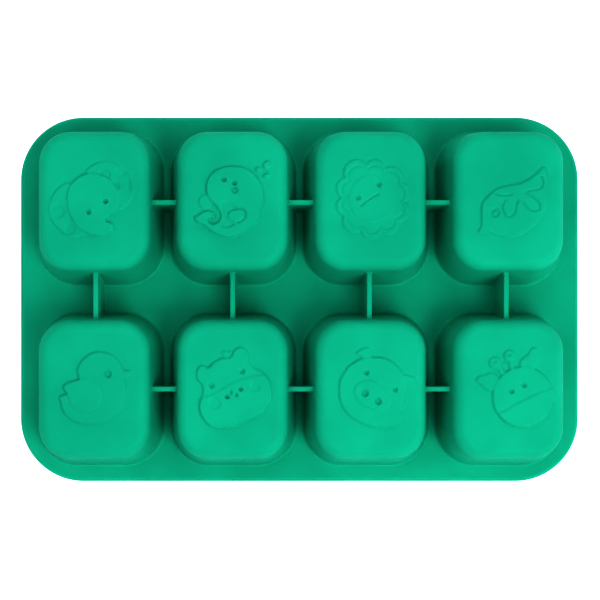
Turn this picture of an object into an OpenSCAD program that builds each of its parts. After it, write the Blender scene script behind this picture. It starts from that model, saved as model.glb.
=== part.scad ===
// Eight-cup silicone soap mould, stood on its pour side with the cup floors up.
// X runs along the tray and Y across it. z = 0 is the surface that it stands on.
// Each cup floor carries a raised animal picture. The inside of the floor repeats
// it as a recess, so the soap comes out with the picture standing proud.

/* [Tray] */
// Overall length, along X
tray_l = 285; // [240:1:360]
// Overall width, along Y
tray_w = 186; // [155:1:240]
// Height from the pour side to the cup floors
tray_h = 28; // [23:0.5:40]
// Radius of the tray's corners in plan
tray_r = 32; // [12:1:38]
// Thickness of the deck sheet between the cups
deck_t = 2; // [1:0.1:3]

/* [Rim] */
// Width of the thick edge round the deck
rim_w = 3; // [2:0.1:5]
// Height of the thick edge
rim_h = 4; // [3.2:0.1:6]
// Rounding of the edge's outer shoulder
rim_round = 2.2; // [0.5:0.1:2.6]

/* [Cups] */
// Tray edge to the end cups, along X
margin_x = 9.9; // [7:0.1:16]
// Tray edge to the cups, along Y
margin_y = 8.5; // [7:0.1:16]
// Gap between neighbours in a row, at the deck
gap_x = 3.6; // [3:0.1:10]
// Gap between the two rows, at the deck
gap_y = 14.3; // [4:0.1:24]
// Radius of a cup's corners in plan, at the deck
cup_r = 20; // [14:0.5:24]
// Draft of the cup walls, in degrees
draft = 13.5; // [2:0.5:15]
// Thickness of the cup walls, measured level
wall_t = 1.6; // [1:0.1:2.4]
// Thickness of the cup floors
floor_t = 2; // [1.2:0.1:3]
// Rounding between a cup's wall and its floor, outside
floor_round = 5.8; // [3:0.1:8]
// Fillet between a cup's wall and the deck
root_round = 1.5; // [0.4:0.1:1.6]

/* [Ribs] */
// Thickness of the ribs that tie the cups together
rib_t = 2.8; // [1.2:0.1:4]
// Drop to the ribs' top edges from where the floors' rounding starts
rib_drop = 2; // [0:0.1:9]

/* [Pictures] */
// Step of the lowest level: ears, mane and horns
low_h = 0.7; // [0.5:0.05:0.9]
// Height of the middle level: heads and bodies
mid_h = 1; // [0.95:0.05:1.15]
// Height of the top level: muzzles, snout and wing
top_h = 1.4; // [1.2:0.05:1.8]
// Height above the floor at which the grooves bottom out
groove_z = 0.25; // [0.1:0.05:0.4]
// Width of the drawn grooves
groove_w = 0.7; // [0.5:0.05:1]
// Clear band between the pictures' field and the floor's rounding
art_margin = 0.1; // [0:0.1:6]

/* [Hidden] */
ANIMALS = ["elephant", "whale", "lion", "bird", "duck", "hippo", "pig", "giraffe"];
cols = 4;
rows = 2;
silicone = [0.05, 0.72, 0.54];
arc_steps = 7;                 // chords in a quarter round of a profile
fine = 96;                     // $fn of the tray's and the cups' corners
over = 1;                      // how far a cutter passes the face it cuts
stroke_end = 0.53;             // radius of a groove's round ends, to its width
fine_groove = 0.5;             // width of the whale's fin line

cup_l = (tray_l - 2 * margin_x - (cols - 1) * gap_x) / cols;
cup_w = (tray_w - 2 * margin_y - (rows - 1) * gap_y) / rows;
pitch_x = cup_l + gap_x;
pitch_y = cup_w + gap_y;

deck_z = rim_h - deck_t;       // underside of the deck, the mouth of the cups
inner_z = tray_h - floor_t;    // inside face of the cup floors
rib_z = tray_h - floor_round * (1 - sin(draft)) - rib_drop;   // top edge of the ribs
inner_round = max(floor_round - wall_t, 1);

// How far the root fillet spreads from the wall, over the deck
root_reach = root_round * (1 - sin(draft)) / cos(draft);

// Inset of the flat of the floor from the cup's outline at the deck
flat_inset = (floor_round + (tray_h - floor_round - rim_h) * sin(draft)) / cos(draft);

// The pictures are drawn in a field of this half size, in millimetres, which
// grows or shrinks with the flat of the cup floors
field = [21.3, 21];
art = min((cup_l / 2 - flat_inset - art_margin) / field[0],
          (cup_w / 2 - flat_inset - art_margin) / field[1]);

function at(r, c) = ANIMALS[r * cols + c];
function row_rib_name(r, c) = str("rib_", at(r, c), "_", at(r, c + 1));
function cross_rib_name(c) = str("rib_", at(0, c), "_", at(1, c));
function cup_x(c) = (c - (cols - 1) / 2) * pitch_x;
function cup_y(r) = ((rows - 1) / 2 - r) * pitch_y;

// ---------------------------------------------------------------- profiles

// Points of an arc, from angle a0 to angle a1
function arc(centre, r, a0, a1, n = arc_steps) =
    [for (i = [0:n]) let (a = a0 + (a1 - a0) * i / n) centre + r * [cos(a), sin(a)]];

// Outer side of a cup's wall from the deck up, in (distance out, height).
// r is the wall's distance out at the deck.
function root_arc(r) =
    arc([r + root_reach, rim_h + root_round], root_round, 270, 180 + draft);
function floor_arc(r, z, round_r, a0, a1) = arc(
    [r - (round_r + (z - round_r - rim_h) * sin(draft)) / cos(draft), z - round_r],
    round_r, a0, a1);

// Section of a cup: the wall and the floor, from the axis of the corner's curve
function cup_section(r) = concat(
    [[0, tray_h], [0, inner_z]],
    floor_arc(r - wall_t, inner_z, inner_round, 90, draft),
    [[r - wall_t, rim_h]],
    root_arc(r),
    floor_arc(r, tray_h, floor_round, draft, 90));

// Section of a cup's mouth, which runs on down at the same draft
function mouth_section(r) =
    let (slope = tan(draft), z0 = deck_z - over, z1 = rim_h + over)
    [[0, z0], [r - wall_t + (rim_h - z0) * slope, z0],
     [r - wall_t - (z1 - rim_h) * slope, z1], [0, z1]];

// Section of the rim, with its rounded shoulder
function rim_section() = concat(
    [[tray_r - rim_w, 0], [tray_r, 0]],
    arc([tray_r - rim_round, rim_h - rim_round], rim_round, 0, 90),
    [[tray_r - rim_w, rim_h]]);

// Carries a section round a rectangle with round corners: four quarter turns
// and four straight runs. The section's distance 0 is the corner's own axis.
module run_round(l, w, r, section) {
    half = [l / 2 - r, w / 2 - r];
    for (k = [0:3]) {
        side = k % 2;
        rotate([0, 0, 90 * k]) {
            translate([half[side], half[1 - side], 0])
                rotate_extrude(angle = 90, $fn = fine) polygon(section);
            translate([half[side], half[1 - side], 0])
                rotate([90, 0, 0]) linear_extrude(2 * half[1 - side]) polygon(section);
        }
    }
}

// Middle of a rounded rectangle, inside its corners' axes
module core(l, w, r, z0, z1) {
    translate([r - l / 2, r - w / 2, z0]) cube([l - 2 * r, w - 2 * r, z1 - z0]);
}

// --------------------------------------------------------------- deck and rim

module deck() {
    inner_r = tray_r - rim_w;
    plate = [[0, deck_z], [inner_r, deck_z], [inner_r, rim_h], [0, rim_h]];
    color(silicone) difference() {
        union() {
            run_round(tray_l - 2 * rim_w, tray_w - 2 * rim_w, inner_r, plate);
            core(tray_l - 2 * rim_w, tray_w - 2 * rim_w, inner_r, deck_z, rim_h);
        }
        for (r = [0:rows - 1]) for (c = [0:cols - 1])
            translate([cup_x(c), cup_y(r), 0]) {
                run_round(cup_l, cup_w, cup_r, mouth_section(cup_r));
                core(cup_l, cup_w, cup_r, deck_z - over, rim_h + over);
            }
    }
}

module rim() {
    color(silicone) run_round(tray_l, tray_w, tray_r, rim_section());
}

// ------------------------------------------------------------ cups and ribs

module cup(animal) {
    color(silicone) difference() {
        union() {
            run_round(cup_l, cup_w, cup_r, cup_section(cup_r));
            core(cup_l, cup_w, cup_r, inner_z, tray_h);
        }
        translate([0, 0, inner_z]) raised(animal, over);
    }
}

// A rib fills the space between two cups up to rib_z, and meets their walls
module rib(gap) {
    slope = tan(draft);
    left = [for (p = root_arc(0)) [p[0] - gap / 2, p[1]]];
    outline = concat(left, [[-gap / 2 - (rib_z - rim_h) * slope, rib_z]]);
    right = [for (i = [len(outline) - 1:-1:0]) [-outline[i][0], outline[i][1]]];
    color(silicone) translate([0, rib_t / 2, 0])
        rotate([90, 0, 0]) linear_extrude(rib_t) polygon(concat(outline, right));
}

// ----------------------------------------------------------------- pictures

// Smooth curve through hand-placed points
function curve_pt(a, b, c, d, t) = b + t * (c - a) / 2
    + t * t * (2 * a - 5 * b + 4 * c - d) / 2 + t * t * t * (3 * b - a - 3 * c + d) / 2;
function ring_curve(p, n = 3) = let (m = len(p))
    [for (i = [0:m - 1]) for (s = [0:n - 1])
        curve_pt(p[(i + m - 1) % m], p[i], p[(i + 1) % m], p[(i + 2) % m], s / n)];
function open_curve(p, n = 4) = let (m = len(p) - 1) concat(
    [for (i = [0:m - 1]) for (s = [0:n - 1])
        curve_pt(p[max(i - 1, 0)], p[i], p[i + 1], p[min(i + 2, m)], s / n)], [p[m]]);
function normal_at(c, i) =
    let (d = c[min(i + 1, len(c) - 1)] - c[max(i - 1, 0)]) [-d[1], d[0]] / norm(d);

// Drawing tools. They scale by art, so a picture keeps its place on the floor.
module blob(p) {
    polygon(art * ring_curve(p));
}

module disc(p, r) {
    translate(art * p) circle(art * r, $fn = 32);
}

module oval(p, a, b, turn = 0) {
    polygon(art * [for (i = [0:19]) let (x = a * cos(18 * i), y = b * sin(18 * i))
        p + [x * cos(turn) - y * sin(turn), x * sin(turn) + y * cos(turn)]]);
}

module stroke(p, w = groove_w) {
    c = open_curve(p);
    m = len(c) - 1;
    polygon(art * concat(
        [for (i = [0:m]) c[i] + normal_at(c, i) * w / 2],
        [for (i = [m:-1:0]) c[i] - normal_at(c, i) * w / 2]));
    for (end = [p[0], p[len(p) - 1]]) disc(end, w * stroke_end);
}

// Field below a line across a face: the muzzle side
module below(p) {
    polygon(art * concat(open_curve(p), [[26, -10], [20, -26], [-22, -26], [-24, -10]]));
}

// Each picture draws one of its levels: low, mid, top, groove or pit

module elephant(level) {
    if (level == "low") {
        blob([[-3.4, 12.7], [-2, 15.1], [1.5, 17.3], [5.4, 18.1], [9.8, 17.5], [13.7, 15.6],
              [16.6, 12.7], [18.8, 9], [19.5, 5.9], [19, 2.4], [17.1, -1.5], [14.6, -3.9],
              [12.2, -4.9], [6, -2], [0, 8]]);
        blob([[-11.2, 7.8], [-14.6, 6.8], [-17.6, 4.4], [-19.5, 1.5], [-21, -2],
              [-21.2, -5.4], [-20.5, -8.8], [-18.5, -12.2], [-15.1, -15.6], [-11.7, -17.6],
              [-8.8, -17.8], [-5.9, -17.1], [-3.4, -15.6], [-2, -8], [-6, 2]]);
    }
    if (level == "top") blob([
        [12.4, 0], [12, 3.9], [9.8, 7.8], [5.9, 11], [1, 12.4], [-3.9, 12], [-8.3, 9.5],
        [-11.2, 5.9], [-12.4, 1.5], [-12.2, -2.9], [-11, -7.3], [-8.3, -12.2],
        [-4.4, -15.6], [0, -17.3], [4.9, -17.6], [8.3, -16.3], [10, -13.9], [9.3, -11.7],
        [7.6, -11], [6.2, -10.6], [6.5, -9.6], [8.3, -8.3], [10.7, -6.1], [12.2, -3.4]]);
    if (level == "groove") difference() {
        union() {
            disc([5.4, 11.7], 2.9);
            disc([13.4, 12.9], 2.2);
            oval([17.3, 6.6], 1, 2.8, 5);
            disc([11.2, 6.3], 1.8);
            disc([-17.1, -5.9], 3.3);
            disc([-11.2, -14.4], 2.6);
        }
        elephant("top");
    }
    if (level == "pit") {
        disc([6.1, -1.1], 0.95);
        disc([-2, -6.2], 0.95);
    }
}

module whale(level) {
    belly = [[-5.9, -2.4], [-3.4, -1.6], [-0.5, -2.2], [2.4, -4.1], [0, -5.1],
             [-1.7, -7.3], [-1.5, -9.8], [1.5, -11.5], [0, -12.9], [-2.9, -13.7],
             [-5.9, -12.7], [-4.6, -10.7], [-4.6, -7.8], [-5.9, -4.4]];
    if (level == "low") {
        blob(belly);
        oval([-12.9, -1.2], 3.2, 3.4);
    }
    if (level == "mid") {
        disc([12.4, 14.7], 0.9);
        oval([16.8, 16.7], 1.5, 2.1, -35);
        oval([16.6, 11.5], 1.6, 1, 10);
    }
    if (level == "top") difference() {
        blob([[0, 15.9], [5.9, 15.1], [10.2, 12.4], [13.4, 8.3], [14.9, 3.9], [15.1, 0],
              [14.4, -4.4], [12.7, -8.8], [9.8, -12.9], [5.4, -16.3], [1, -18],
              [-3.4, -18.1], [-7.8, -16.6], [-11.2, -14.4], [-14.2, -12], [-16.1, -11.5],
              [-18, -9.8], [-18, -8.6], [-16.1, -7.8], [-14.2, -6.3], [-11.7, -5.6],
              [-9.3, -6.3], [-8.1, -8.3], [-8.5, -9.8], [-10, -8.8], [-11.2, -9.5],
              [-11.5, -10.7], [-9.8, -12], [-7.3, -11.5], [-5.6, -9.8], [-5.1, -7.8],
              [-5.9, -5.4], [-7.3, -3.4], [-9, -2], [-10.7, 0], [-12, 2.4],
              [-12.4, 5.9], [-11.5, 9.8], [-9, 12.9], [-4.9, 15.1]]);
        blob(belly);
    }
    if (level == "groove") {
        stroke([[-0.4, -5.4], [2.4, -4.5], [5.4, -4.9], [6.6, -7.3], [5.4, -9.9],
                [2.4, -11.2]], fine_groove);
        difference() {
            disc([1.2, 4.4], 1.5);
            disc([1.2, 4.4], 0.8);
        }
    }
    if (level == "pit") {
        oval([-3.9, 9.4], 1.1, 0.8);
        disc([1.2, 7.7], 0.95);
    }
}

// Scalloped mane, at a share of its full size
module mane(share) {
    lobes = [[-6.8, 12.9, 6.3], [2, 14.4, 4.7], [9.8, 10.2, 5.6], [13.6, 3.4, 5.1],
             [13.6, -5.6, 4.9], [8.3, -11.7, 5.1], [0, -14.2, 4.9], [-8.3, -10.5, 5.4],
             [-12.2, -3.2, 4.6], [-11.7, 5.4, 5.1]];
    for (lobe = lobes) disc(share * [lobe[0], lobe[1]], share * lobe[2]);
    disc([0, 0], share * 13.5);
}

module lion(level) {
    if (level == "low") mane(1);
    if (level == "mid") disc([0.5, 0.2], 11.2);
    if (level == "groove") {
        difference() {
            mane(0.87);
            mane(0.825);
        }
        stroke([[-4.8, -3], [-1, 0.2], [3.4, 2.7]]);
    }
    if (level == "pit") {
        disc([3.8, 7.1], 1.05);
        disc([-6.4, 0.8], 1);
    }
}

module bird(level) {
    if (level == "mid") blob([
        [-15.4, -15.9], [-14.5, -13.8], [-13.8, -12.2], [-13.9, -8.8], [-13.9, -4.9],
        [-13.2, -1.5], [-11.2, 1], [-8.3, 3.7], [-4.9, 5.6], [-1, 6.6], [2.9, 7.1],
        [6.3, 8.3], [10.2, 10.5], [13.2, 12.9], [15.5, 15.2], [16.6, 15.2],
        [17.4, 13.2], [17.6, 9.8], [17.6, 4.9], [17.3, 0], [16.6, -3.9], [15.1, -7.3],
        [13.2, -10.7], [10.2, -13.7], [6.3, -16.1], [2, -17.6], [-2, -18], [-5.9, -17.3],
        [-9.3, -16.1], [-11.2, -15.2], [-13, -15.6]]);
    if (level == "groove") {
        stroke([[-2, 0], [-3.7, -2.4], [-3.9, -4.9], [-2.7, -7.3], [-1, -8.4], [1, -7.6],
                [2.4, -4.9], [2.9, -2.4], [3.9, -0.5]]);
        stroke([[5.9, -1], [8.3, -4.1], [11.2, -5.5], [14.1, -4.4], [13.7, -1.5],
                [10.7, 1.2], [7.3, 3.2]]);
        stroke([[8, 3.9], [10.4, 4.5], [13.2, 4.9], [15.2, 6.3], [15.7, 8.8], [14.9, 11]]);
        stroke([[-6.8, 2.7], [-4.4, 2], [-1.5, 2.1], [0.5, 2.5]]);
        difference() {
            disc([-7.3, -6.4], 2.1);
            disc([-7.3, -6.4], 1.1);
        }
    }
}

module duck(level) {
    if (level == "low") blob([[14, 8.4], [16.4, 8.9], [18.6, 8.7], [17.2, 6.6], [15, 5.6],
                              [13, 6.8]]);
    if (level == "mid") blob([
        [-6.8, 4.9], [-7.6, 8.3], [-6.3, 12.2], [-3.4, 15.6], [0.5, 17.6], [4.9, 17.8],
        [9.3, 16.3], [12.7, 13.2], [14.4, 9.3], [14.6, 6.3], [15.4, 3.4], [15.9, 0],
        [15.6, -3.9], [14.2, -7.8], [12.2, -11.2], [8.8, -13.9], [4.4, -15.9],
        [0, -17.1], [-4.4, -16.8], [-8.8, -15.4], [-12.2, -13.2], [-14.6, -10],
        [-15.4, -6.8], [-16.2, -3.4], [-12, -2]]);
    if (level == "top") blob([
        [-12.7, 2.7], [-9.3, 3.9], [-5.4, 4.6], [-2, 4.3], [1, 2.4], [3.2, -0.5],
        [3.9, -3.9], [2.7, -7.3], [0, -9.8], [-3.9, -10.9], [-7.3, -10.2],
        [-10, -8.1], [-11.2, -4.9], [-12, -2.7], [-13.7, -0.5], [-14.1, 1.5]]);
    if (level == "pit") disc([7.3, 7.1], 1.5);
}

module hippo(level) {
    if (level == "low") for (k = [-1:1]) oval([-2.7 + 1.3 * k, 16.9], 0.7, 1.6, -30 * k);
    if (level == "mid") blob([
        [-16.6, 4.6], [-17.1, 7.8], [-15.9, 10.5], [-13.7, 11.5], [-11.5, 10.2],
        [-8.3, 13.2], [-4.4, 14.8], [-0.5, 15.2], [0.7, 18.1], [3.2, 20], [5.9, 19.5],
        [7.8, 17.1], [7.8, 13.7], [9.8, 10.7], [12.7, 9.3], [15.6, 7.3], [18.1, 3.7],
        [19.3, -1.5], [18.8, -5.9], [16.3, -9.8], [12.7, -12.7], [7.8, -15.1],
        [2.9, -17.1], [-2, -18.8], [-5.9, -19], [-9.8, -18.1], [-13.2, -15.1],
        [-15.3, -11.2], [-15.6, -6.8], [-14.4, -3.4], [-13.9, -0.5], [-14.6, 2.4]]);
    if (level == "top") difference() {
        intersection() {
            hippo("mid");
            below([[-16, -5], [-13.7, -4.4], [-8.8, -2], [-4.4, 0.2], [0, 2.7], [3.9, 4.4],
                   [8.3, 5.6], [12.2, 6.3], [14.6, 6.8], [19, 7.4]]);
        }
        disc([11.2, 1], 2.3);
        disc([-8.3, -6.8], 2.8);
    }
    if (level == "groove") {
        oval([-0.5, -1.5], 0.4, 1);
        oval([2.1, -2.9], 0.4, 1);
    }
    if (level == "pit") {
        disc([5, 8.4], 1.05);
        disc([-9.9, 1.6], 1.05);
        disc([4.2, -0.1], 0.8);
        oval([-2.4, -3.8], 1, 0.7, -30);
    }
}

module pig(level) {
    snout = [0.5, -3.1];
    if (level == "low") {
        blob([[-7.6, 17.1], [-5.4, 18.8], [-2.9, 19.9], [-1, 19.8], [0, 17.6], [0, 14],
              [-2.4, 13.4], [-4.5, 15.2], [-5.8, 16.4]]);
        blob([[15, 6.3], [17.6, 6.6], [19.8, 5.9], [21.4, 4.6], [21.6, 2.6], [20.7, 1.3],
              [18.5, 1], [15.5, 1.2]]);
    }
    if (level == "mid") blob([
        [-15.4, 1], [-14.9, 4.4], [-12.7, 8.3], [-9.8, 11.7], [-5.4, 14.3], [-1, 15.1],
        [3.9, 15.3], [8.3, 14.2], [12.2, 11.5], [14.9, 7.8], [16.3, 3.9], [16.8, 0],
        [16.6, -3.9], [15.6, -7.8], [14.4, -11.2], [12.9, -14.6], [11.2, -17.1],
        [8.8, -18.1], [4.4, -18.3], [0, -18], [-4.4, -16.3], [-8.8, -13.9],
        [-12.2, -10.7], [-14.2, -7.3], [-15.3, -3.4]]);
    if (level == "top") oval(snout, 9.3, 6.3, -28);
    if (level == "groove") {
        disc([-3.1, -2], 1.5);
        disc([3.3, -5.9], 1.4);
    }
    if (level == "pit") {
        disc([-2.3, 8], 1.05);
        disc([11.5, -0.3], 1);
    }
}

module giraffe(level) {
    horns = [[[-7.3, 12.7], [-4, 8.5]], [[-0.2, 16.1], [1, 9.5]]];
    if (level == "low") {
        blob([[-16.3, 4.1], [-14.9, 6.2], [-12.7, 6.5], [-9.8, 7.7], [-6.8, 6.8],
              [-5.4, 3.9], [-6.3, 0.5], [-8.8, -0.7], [-11.7, -0.2], [-13.7, 1.7]]);
        blob([[4.6, 12.7], [6.3, 15.1], [8.8, 16.8], [9.8, 18.8], [11.2, 19.8],
              [12.9, 19.3], [13.4, 16.6], [13.4, 13.7], [12.7, 11.2], [10.7, 9],
              [6, 9]]);
        for (h = horns) {
            disc(h[0], 2.75);
            stroke(h, 2.3);
        }
        disc([-2.9, 12.2], 0.6);
    }
    if (level == "mid") disc([6.1, -3.9], 14.6);
    if (level == "top") intersection() {
        giraffe("mid");
        below([[-10, -13.6], [-5.9, -12], [-1.5, -9.8], [2.4, -7.3], [6.3, -5.4],
               [10.7, -3.2], [15.6, -1.2], [20, -0.2], [24, 0.2]]);
    }
    if (level == "groove") for (h = horns) oval(h[0] + [-0.5, 0.5], 1.1, 0.7, 30);
    if (level == "pit") {
        disc([6.5, 1.9], 1.05);
        disc([0.6, -1.1], 1);
    }
}

module level_of(animal, level) {
    if (animal == "elephant") elephant(level);
    if (animal == "whale") whale(level);
    if (animal == "lion") lion(level);
    if (animal == "bird") bird(level);
    if (animal == "duck") duck(level);
    if (animal == "hippo") hippo(level);
    if (animal == "pig") pig(level);
    if (animal == "giraffe") giraffe(level);
}

// One slice of a picture: what stands from its lowest level up, less the cuts
module slice(animal, z0, z1, levels, cuts) {
    translate([0, 0, z0]) linear_extrude(z1 - z0) difference() {
        union() for (level = levels) level_of(animal, level);
        union() for (cut = cuts) level_of(animal, cut);
    }
}

// A picture standing on z = 0, as slices that meet face to face. sunk carries
// its lowest slice further down, for cutting the same picture out of a floor.
// The lion and the bird have no top level.
module raised(animal, sunk = 0) {
    slice(animal, -sunk, groove_z, ["low", "mid", "top"], ["pit"]);
    slice(animal, groove_z, low_h, ["low", "mid", "top"], ["pit", "groove"]);
    slice(animal, low_h, mid_h, ["mid", "top"], ["pit", "groove"]);
    if (animal != "lion" && animal != "bird")
        slice(animal, mid_h, top_h, ["top"], ["pit", "groove"]);
}

module picture(animal) {
    color(silicone) raised(animal);
}

// ----------------------------------------------------------------- the mould

deck();
rim();
for (r = [0:rows - 1]) for (c = [0:cols - 1]) translate([cup_x(c), cup_y(r), 0]) {
    cup(at(r, c));
    translate([0, 0, tray_h]) picture(at(r, c));
}
for (r = [0:rows - 1]) for (c = [0:cols - 2])
    translate([(cup_x(c) + cup_x(c + 1)) / 2, cup_y(r), 0]) rib(gap_x);
for (c = [0:cols - 1])
    translate([cup_x(c), 0, 0]) rotate([0, 0, 90]) rib(gap_y);
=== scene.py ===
"""Silicone soap mould: its visible skins, their material, the studio and the camera.

The mould lies on its pour side with the cup floors up. Each skin is a closed mesh,
lofted round the frame's own boxes, and stands for the CAD node or nodes it is
named after. Lengths are metres unless a name says otherwise.
"""

import math

import bmesh
import bpy
import numpy as np
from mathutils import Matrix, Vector
from mathutils.bvhtree import BVHTree


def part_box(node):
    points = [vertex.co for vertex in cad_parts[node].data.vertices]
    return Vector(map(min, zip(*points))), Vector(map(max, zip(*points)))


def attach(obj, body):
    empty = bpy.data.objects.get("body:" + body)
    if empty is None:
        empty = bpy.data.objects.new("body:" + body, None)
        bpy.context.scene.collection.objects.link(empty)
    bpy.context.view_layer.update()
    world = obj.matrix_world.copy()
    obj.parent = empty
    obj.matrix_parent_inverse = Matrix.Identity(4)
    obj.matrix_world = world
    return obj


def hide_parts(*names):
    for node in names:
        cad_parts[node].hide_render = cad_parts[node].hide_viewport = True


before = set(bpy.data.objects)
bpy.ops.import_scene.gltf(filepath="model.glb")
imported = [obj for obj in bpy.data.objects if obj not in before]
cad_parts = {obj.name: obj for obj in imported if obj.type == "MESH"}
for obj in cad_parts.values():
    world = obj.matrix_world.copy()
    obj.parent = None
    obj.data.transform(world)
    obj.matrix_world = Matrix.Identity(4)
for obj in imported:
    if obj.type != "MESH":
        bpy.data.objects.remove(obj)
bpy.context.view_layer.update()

MM = 0.001
ANIMALS = ("elephant", "whale", "lion", "bird", "duck", "hippo", "pig", "giraffe")

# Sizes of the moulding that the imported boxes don't give
DRAFT = math.radians(13.5)
WALL = 1.6 * MM
FLOOR = 2.0 * MM
DECK = 2.0 * MM
CUP_CORNER = 20 * MM
FLOOR_ROUND = 5.8 * MM
INNER_ROUND = 4.2 * MM
ROOT_ROUND = 1.5 * MM
MOUTH_ROUND = 0.8 * MM
TRAY_CORNER = 32 * MM
RIM_W = 3 * MM
RIM_ROUND = 2.2 * MM      # top outer edge of the rim
RIM_FOOT = 0.6 * MM       # its two lower edges
RIB_ROUND = 0.45 * MM
RIB_FOOT = 0.6 * MM
RIB_DRAFT = math.radians(0.5)
RIB_SUNK = 0.5 * MM       # how far a rib's ends sink into the cups' walls
SEAT = 0.15 * MM          # how far one skin sinks into its neighbour
SHARP = math.radians(50)  # edges that turn by more than this stay crisp

# Mesh density: points round a cup, and cells along half of a floor's long and
# short sides. The points are 4 times their sum, or half of that.
AROUND = 400
OUTER_CELLS = (110, 90)
INNER_CELLS = (55, 45)
EDGE_STRIP = 0.6 * MM     # between a floor's edge ring and the rim of its grid

# Softening of the moulded pictures, as the spread of a blur
CELL = 0.15 * MM
OUTER_SOFT = 0.32 * MM
INNER_SOFT = 0.35 * MM
FIELD_MARGIN = 8 * CELL   # level ground kept round a picture

# The silicone's darkest and lightest tone, and the picture's contrast: a product
# photograph has deep, saturated shadows
BASE_DARK = (0.018, 0.37, 0.274)
BASE_LIGHT = (0.021, 0.405, 0.3)
PICTURE_CONTRAST = 0.47

# Softboxes: azimuth and elevation in degrees, watts
LIGHT_AWAY, LIGHT_WIDE = 1.1, 0.7
LIGHTS = (
    ("key", -45, 42, 8.7),
    ("key_top", -45, 64, 3.7),
    ("overhead", 0, 90, 2.4),
    ("left", -135, 42, 5.3),
    ("back_left", 160, 42, 3.3),
    ("back", 75, 42, 2.7),
    ("low_back", 90, 20, 4.6),
    ("low_right", 0, 20, 3.6),
    ("low_left", 180, 20, 1.0),
)
WORLD_STRENGTH = 0.01


# ------------------------------------------------------------------ mesh tools

def outline(n, half_l, half_w, r):
    """n points of a rectangle with round corners, with outward normals.

    The points start in the middle of the +X side and are the same in all four
    quarters, so outlines with one n line up with each other.
    """
    run_y, turn, run_x = half_w - r, r * math.pi / 2, half_l - r
    quarter = n // 4
    s = np.arange(quarter) * (run_y + turn + run_x) / quarter
    a = np.clip((s - run_y) / r, 0, math.pi / 2)
    x = run_x + r * np.cos(a) - np.maximum(s - run_y - turn, 0)
    y = np.minimum(s, run_y) + r * np.sin(a)
    first = np.stack([x, y, np.cos(a), np.sin(a)], 1)
    # The second quarter runs back from the +Y side, so it mirrors the first
    end = np.array([[0, half_w, 0, 1]])
    mirrored = np.concatenate([end, first[:0:-1]]) * (-1, 1, -1, 1)
    half = np.concatenate([first, mirrored])
    full = np.concatenate([half, -half])
    return full[:, :2], full[:, 2:]


def arc(cx, cz, r, a0, a1, steps):
    """Points of an arc in (distance, height), from angle a0 to a1 in degrees."""
    a = np.radians(np.linspace(a0, a1, steps + 1))
    return [(cx + r * math.cos(t), cz + r * math.sin(t)) for t in a]


def new_piece(name, verts, faces, nodes):
    """A mesh object that rides on the body and stands for CAD nodes."""
    mesh = bpy.data.meshes.new(name)
    mesh.from_pydata(verts, [], faces)
    mesh.validate()
    mesh.shade_smooth()
    mesh.set_sharp_from_angle(angle=SHARP)
    piece = bpy.data.objects.new(name, mesh)
    bpy.context.scene.collection.objects.link(piece)
    piece.data.materials.append(silicone)
    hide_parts(*nodes)
    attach(piece, "root")
    return piece


def loft(rings, closed):
    """Vertices and quads through rings of equal length. closed joins last to first."""
    n = len(rings[0])
    verts = np.concatenate(rings)
    last = len(rings) if closed else len(rings) - 1
    i = np.arange(n)
    j = (i + 1) % n
    faces = []
    for k in range(last):
        a, b = k * n, (k + 1) % len(rings) * n
        faces.append(np.stack([a + i, b + i, b + j, a + j], 1))
    return verts, np.concatenate(faces)


def ring(points, z):
    """Points in plan, lifted to a height or to one height each."""
    return np.column_stack([points, np.broadcast_to(z, len(points))])


# --------------------------------------------------------------------- pictures

class Relief:
    """Height of a moulded picture over its floor, softened, at any plan point."""

    def __init__(self, node, floor_z, soft):
        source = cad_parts[node].data
        tree = BVHTree.FromPolygons([v.co for v in source.vertices],
                                    [p.vertices for p in source.polygons])
        low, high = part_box(node)
        self.x0, self.y0 = low.x - FIELD_MARGIN, low.y - FIELD_MARGIN
        self.nx = int((high.x - low.x + 2 * FIELD_MARGIN) / CELL) + 1
        self.ny = int((high.y - low.y + 2 * FIELD_MARGIN) / CELL) + 1
        start, down = high.z + MM, Vector((0, 0, -1))
        raw = np.zeros((self.ny, self.nx))
        for row in range(self.ny):
            for col in range(self.nx):
                spot = Vector((self.x0 + col * CELL, self.y0 + row * CELL, start))
                hit = tree.ray_cast(spot, down)[0]
                if hit:
                    raw[row, col] = max(hit.z - floor_z, 0)
        self.height = blur(raw, soft / CELL)

    def at(self, points):
        """Heights at plan points, 0 beyond the picture's field."""
        u = np.clip((points[:, 0] - self.x0) / CELL, 0, self.nx - 1.001)
        v = np.clip((points[:, 1] - self.y0) / CELL, 0, self.ny - 1.001)
        i, j = u.astype(int), v.astype(int)
        fu, fv = u - i, v - j
        h = self.height
        near = h[j, i] * (1 - fu) + h[j, i + 1] * fu
        far = h[j + 1, i] * (1 - fu) + h[j + 1, i + 1] * fu
        return near * (1 - fv) + far * fv


def blur(grid, spread):
    """Gaussian blur of a height grid, spread in cells."""
    reach = int(math.ceil(3 * spread))
    weights = np.exp(-0.5 * (np.arange(-reach, reach + 1) / spread) ** 2)
    weights /= weights.sum()
    for axis in (0, 1):
        grid = sum(w * np.roll(grid, k - reach, axis) for k, w in enumerate(weights))
    return grid


# ------------------------------------------------------------------------- cups

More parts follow.
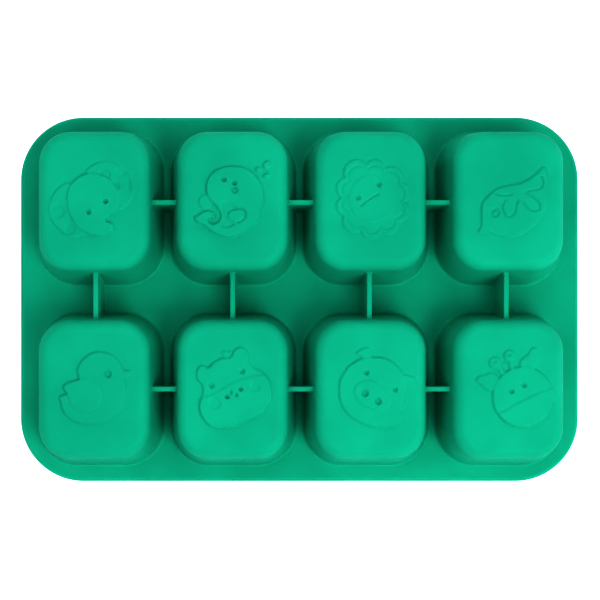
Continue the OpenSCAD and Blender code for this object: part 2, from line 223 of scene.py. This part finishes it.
def floor_patch(edge, z, relief, cells, facing):
    """A floor inside an edge ring: a grid that bends to the ring's round outline.

    The grid's rim has as many points as the ring, or twice as many. Returns the
    grid's vertices, and faces that look up or down and count on from the ring's.
    """
    along, across = cells
    count = len(edge)
    step = 4 * (along + across) // count
    centre = edge.mean(0)
    turns = np.arange(count * step) / step
    before = edge[turns.astype(int)]
    after = edge[(turns.astype(int) + 1) % count]
    rim = before + (after - before) * (turns % 1)[:, None]
    rim = (rim - centre) * (1 - EDGE_STRIP / np.linalg.norm(rim - centre, axis=1)[:, None])

    # Each cell's share of the way out, and its place on the rim
    v, u = np.meshgrid(np.arange(-along, along + 1), np.arange(-across, across + 1),
                       indexing="ij")
    fu, fv = u / across, v / along
    share = np.maximum(np.maximum(abs(fu), abs(fv)), 1e-9)
    fu, fv = fu / share, fv / share
    turn = np.where(fu >= 1, fv * along,
                    np.where(fv >= 1, along + (1 - fu) * across,
                             np.where(fu <= -1, 2 * across + along * (2 - fv),
                                      3 * along + across * (3 + fu))))
    turn = turn % len(rim)
    low = np.floor(turn + 1e-6).astype(int) % len(rim)
    part = np.clip(turn - low, 0, 1)[..., None]
    bent = rim[low] + (rim[(low + 1) % len(rim)] - rim[low]) * part
    half = abs(rim).max(0)
    square = np.stack([fu * half[0], fv * half[1]], -1)
    blend = share[..., None] ** 4
    plan = centre + share[..., None] * (square + (bent - square) * blend)

    index = np.arange(plan.shape[0] * plan.shape[1]).reshape(plan.shape[:2]) + count
    quads = [index[:-1, :-1], index[:-1, 1:], index[1:, 1:], index[1:, :-1]]
    quads = np.stack([q.ravel() for q in quads], 1).tolist()
    # The strip of faces that joins the grid's rim to the ring
    walk = np.concatenate([index[:-1, -1], index[-1, :0:-1], index[:0:-1, 0],
                           index[0, :-1]])
    walk = np.roll(walk, -along).tolist()
    strip = []
    for k in range(count):
        steps = [walk[(step * k + i) % len(walk)] for i in range(step + 1)]
        if step == 2:
            strip.append((k, steps[0], steps[1]))
        strip.append((k, *steps[-2:], (k + 1) % count))
    plan = plan.reshape(-1, 2)
    if facing == "up":
        faces = [f[::-1] for f in strip] + quads
    else:
        faces = strip + [q[::-1] for q in quads]
    return ring(plan, z + relief.at(plan)), faces


def make_cup(animal):
    """A cup: drafted walls inside and out, round mouth, floors with the picture."""
    node, picture = "cup_" + animal, "picture_" + animal
    low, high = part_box(node)
    deck_z, floor_z = low.z, high.z
    mouth_z, inner_z = deck_z - DECK, floor_z - FLOOR
    slope, sine, cosine = math.tan(DRAFT), math.sin(DRAFT), math.cos(DRAFT)
    reach = ROOT_ROUND * (1 - sine) / cosine
    centre = np.array([(low.x + high.x) / 2, (low.y + high.y) / 2])
    half_l = (high.x - low.x) / 2 - reach
    half_w = (high.y - low.y) / 2 - reach

    def flat_out(wall_out, z, round_r):
        """Distance out, from the cup's outline, at which the flat of a floor ends."""
        return wall_out - (round_r + (z - round_r - deck_z) * sine) / cosine

    degrees = math.degrees(DRAFT)
    outer_flat = flat_out(0, floor_z, FLOOR_ROUND)
    inner_flat = flat_out(-WALL, inner_z, INNER_ROUND)
    lip = -WALL + (deck_z - mouth_z) * slope
    root_end = arc(reach, deck_z + ROOT_ROUND, ROOT_ROUND, 180 + degrees, 270, 6)
    floor_start = arc(outer_flat, floor_z - FLOOR_ROUND, FLOOR_ROUND, 90, degrees, 14)
    inner_start = arc(inner_flat, inner_z - INNER_ROUND, INNER_ROUND, degrees, 90, 11)
    mouth_arc = arc(lip + MOUTH_ROUND, mouth_z + MOUTH_ROUND, MOUTH_ROUND, 270, 180, 6)

    def straight(a, b, steps):
        """Points between a and b, without a and b."""
        return [(a[0] + (b[0] - a[0]) * t, a[1] + (b[1] - a[1]) * t)
                for t in np.linspace(0, 1, steps + 1)[1:-1]]

    section = (floor_start + straight(floor_start[-1], root_end[0], 7) + root_end
               + [(reach, deck_z - SEAT), (lip + MOUTH_ROUND, deck_z - SEAT)]
               + mouth_arc + straight(mouth_arc[-1], inner_start[0], 7) + inner_start)
    base, normal = outline(AROUND, half_l, half_w, CUP_CORNER)
    base = base + centre
    rings = [ring(base + out * normal, z) for out, z in section]
    outer = Relief(picture, floor_z, OUTER_SOFT)
    inner = Relief(picture, floor_z, INNER_SOFT)
    rings[0][:, 2] += outer.at(rings[0])
    rings[-1][:, 2] += inner.at(rings[-1])
    verts, quads = loft(rings, closed=False)
    faces = quads.tolist()
    last = len(verts) - AROUND
    ends = ((0, floor_z, outer, OUTER_CELLS, "up"),
            (last, inner_z, inner, INNER_CELLS, "down"))
    for first, z, relief, cells, facing in ends:
        edge = verts[first:first + AROUND, :2]
        more, new = floor_patch(edge, z, relief, cells, facing)
        beyond = len(verts) - AROUND
        faces += [[i + (first if i < AROUND else beyond) for i in f] for f in new]
        verts = np.concatenate([verts, more])
    return new_piece(node + "_skin", verts.tolist(), faces, (node, picture))


# ------------------------------------------------------------------ deck and rim

def mouth_outline(animal):
    """Edge of the deck round one cup, where the cup's rounded mouth meets it."""
    low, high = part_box("cup_" + animal)
    sine, cosine = math.sin(DRAFT), math.cos(DRAFT)
    reach = ROOT_ROUND * (1 - sine) / cosine
    centre = ((low.x + high.x) / 2, (low.y + high.y) / 2)
    base, normal = outline(AROUND // 2, (high.x - low.x) / 2 - reach,
                           (high.y - low.y) / 2 - reach, CUP_CORNER)
    lip = -WALL + DECK * math.tan(DRAFT) + MOUTH_ROUND
    return base + lip * normal + centre


def make_deck():
    """The flat sheet with its eight mouths, inside the rim."""
    low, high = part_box("deck")
    loops = [outline(AROUND, high.x, high.y, TRAY_CORNER - RIM_W)[0]]
    loops += [mouth_outline(animal) for animal in ANIMALS]
    build = bmesh.new()
    for loop in loops:
        corners = [build.verts.new((x, y, low.z)) for x, y in loop]
        for a, b in zip(corners, corners[1:] + corners[:1]):
            build.edges.new((a, b))
    bmesh.ops.triangle_fill(build, edges=build.edges[:], use_beauty=True)
    grown = bmesh.ops.extrude_face_region(build, geom=build.faces[:])["geom"]
    lifted = [g for g in grown if isinstance(g, bmesh.types.BMVert)]
    bmesh.ops.translate(build, verts=lifted, vec=(0, 0, high.z - low.z))
    bmesh.ops.recalc_face_normals(build, faces=build.faces[:])
    build.verts.index_update()
    verts = [tuple(v.co) for v in build.verts]
    faces = [[v.index for v in f.verts] for f in build.faces]
    build.free()
    return new_piece("deck_skin", verts, faces, ("deck",))


def make_rim():
    """The thick edge of the tray, round on top of its outer side."""
    low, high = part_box("rim")
    base, normal = outline(AROUND, high.x, high.y, TRAY_CORNER)
    section = (arc(-RIM_ROUND, high.z - RIM_ROUND, RIM_ROUND, 90, 0, 10)
               + arc(-RIM_FOOT, low.z + RIM_FOOT, RIM_FOOT, 0, -90, 4)
               + arc(RIM_FOOT - RIM_W, low.z + RIM_FOOT, RIM_FOOT, 270, 180, 4)
               + [(-RIM_W, (low.z + high.z) / 2), (-RIM_W, high.z)])
    rings = [ring(base + out * normal, z) for out, z in section]
    verts, quads = loft(rings, closed=True)
    return new_piece("rim_skin", verts.tolist(), quads.tolist(), ("rim",))


# ------------------------------------------------------------------------- ribs

def flare(distance, r):
    """Widening of a moulded fillet of radius r, at a distance from its corner."""
    d = np.clip(distance, 0, r)
    return r - np.sqrt(np.maximum(r * r - (r - d) ** 2, 0))


def make_rib(node, along):
    """A web between two cups: flat top with soft edges, small fillets at its foot."""
    low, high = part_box(node)
    across = 1 - along
    middle = [(low.x + high.x) / 2, (low.y + high.y) / 2]
    half_t = (high[across] - low[across]) / 2
    half_top = (high[along] - low[along]) / 2
    taper = (high.z - low.z) * math.tan(RIB_DRAFT)
    edge = arc(half_t - taper - RIB_ROUND, high.z - RIB_ROUND, RIB_ROUND, 90, 0, 6)
    foot = [(half_t + flare(h, RIB_FOOT), low.z + h)
            for h in np.linspace(1, 0, 7) ** 2 * RIB_FOOT]
    column = edge + foot + [(foot[-1][0], low.z - SEAT)]
    column = column + [(-w, z) for w, z in column[::-1]]
    rings = []
    for share in np.linspace(-1, 1, 41):
        line = []
        for w, z in column:
            reach = half_top - (high.z - z) * math.tan(DRAFT)
            end = reach + RIB_SUNK
            gap = np.clip((1 - abs(share)) * end - RIB_SUNK, 0, RIB_FOOT)
            line.append((share * end,
                         w + math.copysign(flare(gap, RIB_FOOT), w), z))
        rings.append(line)
    n = len(column)
    points = np.array(rings).reshape(-1, 3)
    if along == 1:
        points = points[:, (1, 0, 2)] * (-1, 1, 1)
    points = points + (*middle, 0)
    verts, quads = loft([points[k * n:(k + 1) * n] for k in range(len(rings))],
                        closed=False)
    faces = quads.tolist()
    faces += [list(range(n)), [len(verts) - 1 - k for k in range(n)]]
    return new_piece(node + "_skin", verts.tolist(), faces, (node,))


# --------------------------------------------------------------------- material

def make_silicone():
    """Satin green silicone: faint tone drift, fine moulded grain, soft waviness."""
    material = bpy.data.materials.new("green_silicone")
    material.use_nodes = True
    tree = material.node_tree
    shader = tree.nodes["Principled BSDF"]
    shader.inputs["IOR"].default_value = 1.41
    shader.inputs["Specular IOR Level"].default_value = 0.2
    shader.inputs["Specular Tint"].default_value = (0.05, 0.9, 0.6, 1)

    place = tree.nodes.new("ShaderNodeTexCoord")

    def noise(scale, detail):
        node = tree.nodes.new("ShaderNodeTexNoise")
        node.inputs["Scale"].default_value = scale
        node.inputs["Detail"].default_value = detail
        tree.links.new(place.outputs["Object"], node.inputs["Vector"])
        return node.outputs["Fac"]

    def ramp(source, low, high, start=0.35, stop=0.65):
        node = tree.nodes.new("ShaderNodeValToRGB")
        node.color_ramp.elements[0].position = start
        node.color_ramp.elements[1].position = stop
        node.color_ramp.elements[0].color = (*low, 1)
        node.color_ramp.elements[1].color = (*high, 1)
        tree.links.new(source, node.inputs["Fac"])
        return node.outputs["Color"]

    tone = ramp(noise(28, 3), BASE_DARK, BASE_LIGHT)
    tree.links.new(tone, shader.inputs["Base Color"])
    gloss = ramp(noise(160, 4), (0.44,) * 3, (0.54,) * 3)
    tree.links.new(gloss, shader.inputs["Roughness"])

    grain = tree.nodes.new("ShaderNodeBump")
    grain.inputs["Strength"].default_value = 0.12
    grain.inputs["Distance"].default_value = 0.05 * MM
    tree.links.new(noise(2600, 2), grain.inputs["Height"])
    waves = tree.nodes.new("ShaderNodeBump")
    waves.inputs["Strength"].default_value = 0.35
    waves.inputs["Distance"].default_value = 0.4 * MM
    tree.links.new(noise(45, 1), waves.inputs["Height"])
    tree.links.new(grain.outputs["Normal"], waves.inputs["Normal"])
    tree.links.new(waves.outputs["Normal"], shader.inputs["Normal"])
    return material


silicone = make_silicone()

for animal in ANIMALS:
    make_cup(animal)
make_deck()
make_rim()
for node in sorted(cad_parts):
    if node.startswith("rib_"):
        low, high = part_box(node)
        make_rib(node, along=0 if high.x - low.x > high.y - low.y else 1)


# ----------------------------------------------------------- studio and camera

def make_floor():
    """Pale paper that glows a little, as a white sweep does in a bright studio.

    It lies flat under the mould and curves up far away, all the way round.
    """
    flat, run, rise = 12.0, 3.0, 4.5
    turn = np.linspace(0, 2 * math.pi, 96, endpoint=False)
    circle = np.stack([np.cos(turn), np.sin(turn)], 1)
    bend = np.linspace(0, math.pi / 2, 13)
    rings = [ring(circle * (flat + run * math.sin(a)), rise * (1 - math.cos(a)))
             for a in bend]
    verts, quads = loft(rings, closed=False)
    mesh = bpy.data.meshes.new("floor")
    mesh.from_pydata(verts.tolist(), [], quads.tolist() + [list(range(len(turn)))])
    mesh.shade_smooth()
    floor = bpy.data.objects.new("floor", mesh)
    floor.location.z = -0.02 * MM
    bpy.context.scene.collection.objects.link(floor)
    paper = bpy.data.materials.new("pale_paper")
    paper.use_nodes = True
    shader = paper.node_tree.nodes["Principled BSDF"]
    shader.inputs["Base Color"].default_value = (0.4, 0.4, 0.4, 1)
    shader.inputs["Emission Color"].default_value = (1, 1, 1, 1)
    shader.inputs["Emission Strength"].default_value = 0.8
    shader.inputs["Roughness"].default_value = 0.9
    shader.inputs["Specular IOR Level"].default_value = 0.1
    mesh.materials.append(paper)


def softbox(name, azimuth, elevation, watts):
    """A large round softbox that faces the mould from a direction in degrees."""
    lamp = bpy.data.lights.new(name, "AREA")
    lamp.shape = "DISK"
    lamp.size = LIGHT_WIDE
    lamp.energy = watts
    a, e = math.radians(azimuth), math.radians(elevation)
    spot = Vector((math.cos(a) * math.cos(e), math.sin(a) * math.cos(e), math.sin(e)))
    light = bpy.data.objects.new(name, lamp)
    light.location = spot * LIGHT_AWAY
    light.rotation_mode = "QUATERNION"
    light.rotation_quaternion = (-spot).to_track_quat("-Z", "Y")
    bpy.context.scene.collection.objects.link(light)


def make_camera():
    """Straight down, above a point nearer the front left, shifted to the middle."""
    lens_mm, sensor_mm = 54.1, 36.0
    above_deck = 0.460
    foot = Vector((-18.8 * MM, -43.2 * MM))
    middle = Vector((0.25 * MM, -0.5 * MM))
    deck_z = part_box("deck")[1].z
    data = bpy.data.cameras.new("camera")
    data.lens, data.sensor_width = lens_mm, sensor_mm
    wide = above_deck * sensor_mm / lens_mm
    data.shift_x, data.shift_y = (middle - foot) / wide
    data.clip_start, data.clip_end = 0.01, 50
    camera = bpy.data.objects.new("camera", data)
    camera.location = (foot.x, foot.y, deck_z + above_deck)
    bpy.context.scene.collection.objects.link(camera)
    bpy.context.scene.camera = camera


def make_world():
    """A trace of even light, so that the deepest gaps aren't black."""
    world = bpy.data.worlds.new("studio")
    world.use_nodes = True
    back = world.node_tree.nodes["Background"]
    back.inputs["Color"].default_value = (1, 1, 1, 1)
    back.inputs["Strength"].default_value = WORLD_STRENGTH
    bpy.context.scene.world = world


make_floor()
for light in LIGHTS:
    softbox(*light)
make_world()
make_camera()
bpy.context.scene.view_settings.view_transform = "Standard"
bpy.context.scene.view_settings.gamma = PICTURE_CONTRAST
